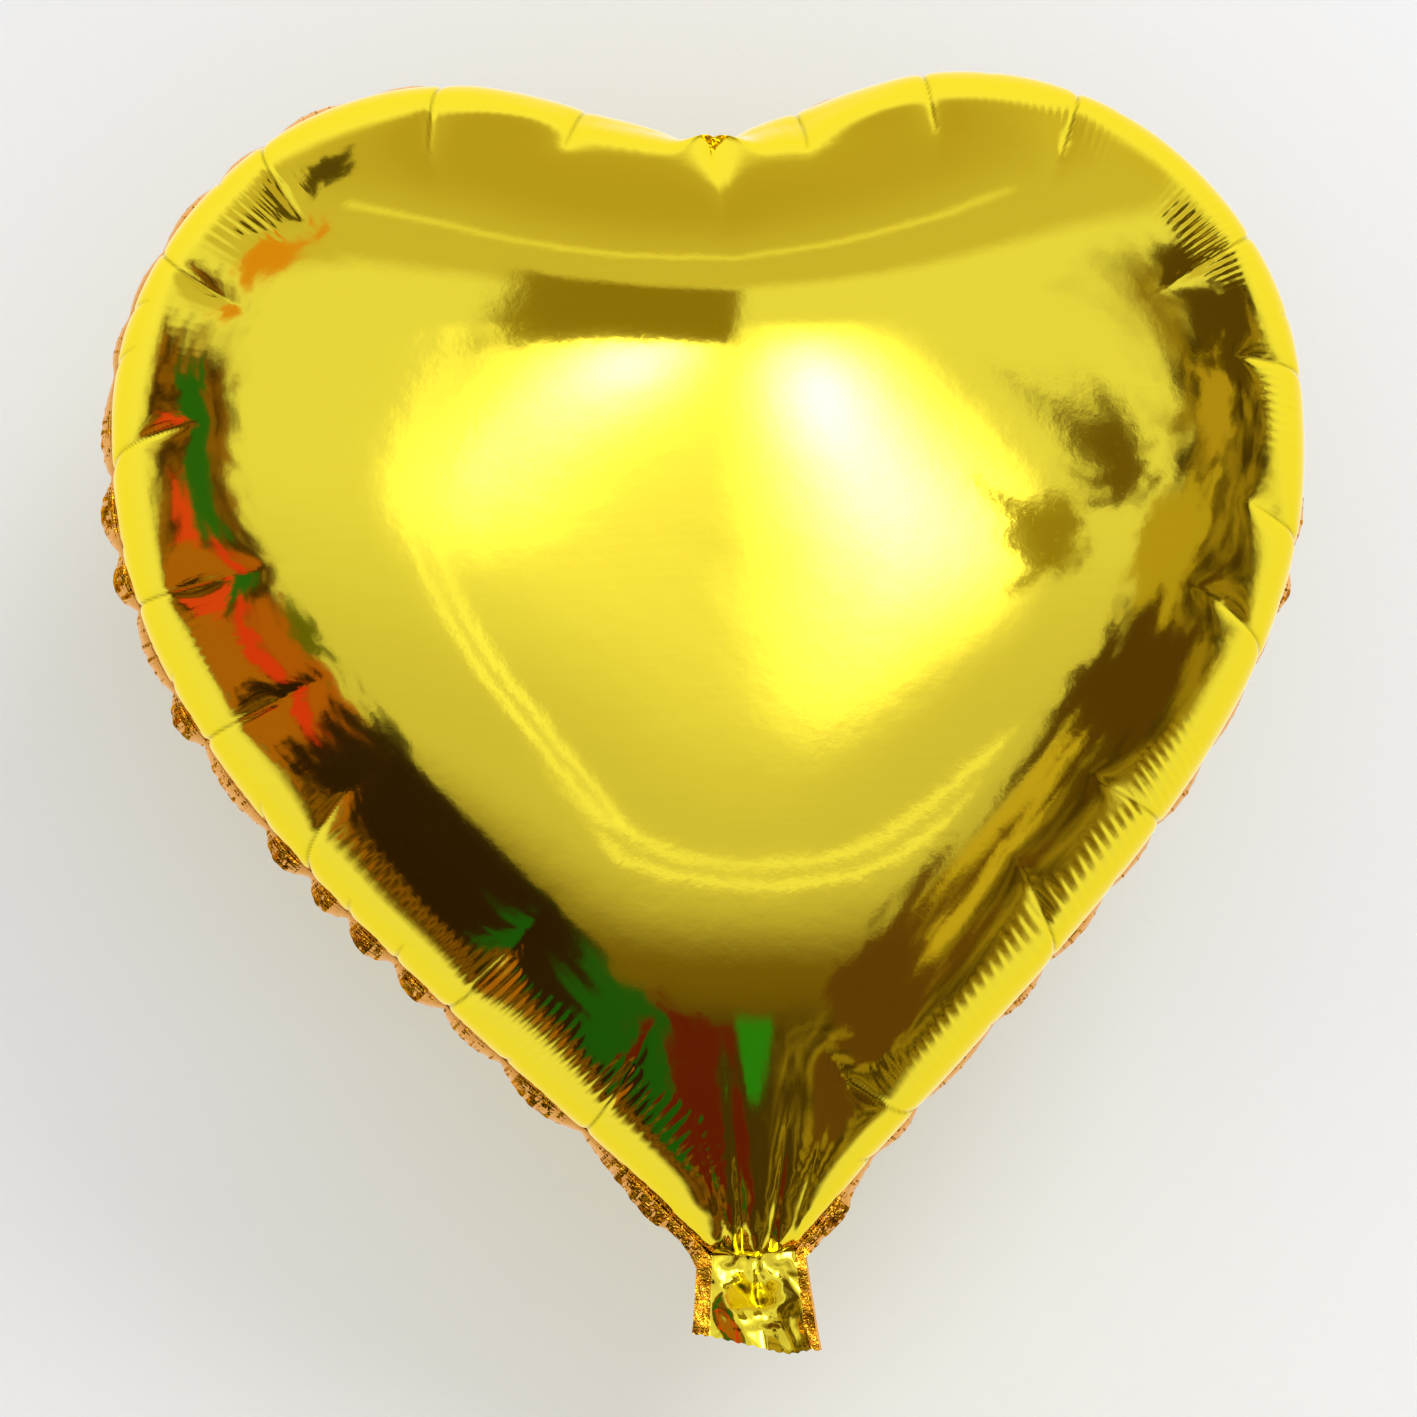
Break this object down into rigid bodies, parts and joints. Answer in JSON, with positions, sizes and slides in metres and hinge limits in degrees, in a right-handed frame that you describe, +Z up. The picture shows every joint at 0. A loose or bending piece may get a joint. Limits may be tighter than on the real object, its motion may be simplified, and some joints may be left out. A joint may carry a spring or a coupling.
{
  "type": "heart foil balloon",
  "caption": "Inflated heart-shaped foil balloon of two sealed mirror-finish panels, with a pinched neck, an open filling tail and an inner self-sealing film valve.",
  "frame": {"origin": "middle of the pinched neck, where the heart ends, the tail begins and a ribbon is tied", "axes": "+Z up the heart's axis from the neck to the notch, -Y the front panel's side, +X to the right seen from the front"},
  "size_m": [0.36, 0.1814, 0.377],
  "materials": {
    "foil": "mirror-bright lemon-gold metallised film",
    "seal": "heat-fused film edge, satin",
    "valve_film": "clear thin polyethylene",
    "release_ink": "matte heat-resistant print"
  },
  "bodies": {
    "balloon": {"front_panel": "foil", "rear_panel": "foil", "perimeter_seal": "seal"},
    "tail": {"tail_front_ply": "foil", "tail_rear_ply": "foil", "tail_left_seal": "seal", "tail_right_seal": "seal"},
    "valve_tongue": {"valve_rear_film": "valve_film", "release_print": "release_ink"},
    "valve_lip": {"valve_front_film": "valve_film"}
  },
  "joints": [
    {"name": "tail_fold", "type": "hinge", "parent": "balloon", "child": "tail", "pos_m": [0, 0, 0], "axis": [1, 0, 0], "range_deg": [-90, 90]},
    {"name": "valve_sway", "type": "hinge", "parent": "balloon", "child": "valve_tongue", "pos_m": [0, 0, 0.012], "axis": [1, 0, 0], "range_deg": [-15, 15], "stiffness_Nm_per_rad": 0.002},
    {"name": "valve_lips_part", "type": "hinge", "parent": "valve_tongue", "child": "valve_lip", "pos_m": [0, 0, 0.012], "axis": [1, 0, 0], "range_deg": [0, 8], "stiffness_Nm_per_rad": 0.001}
  ]
}
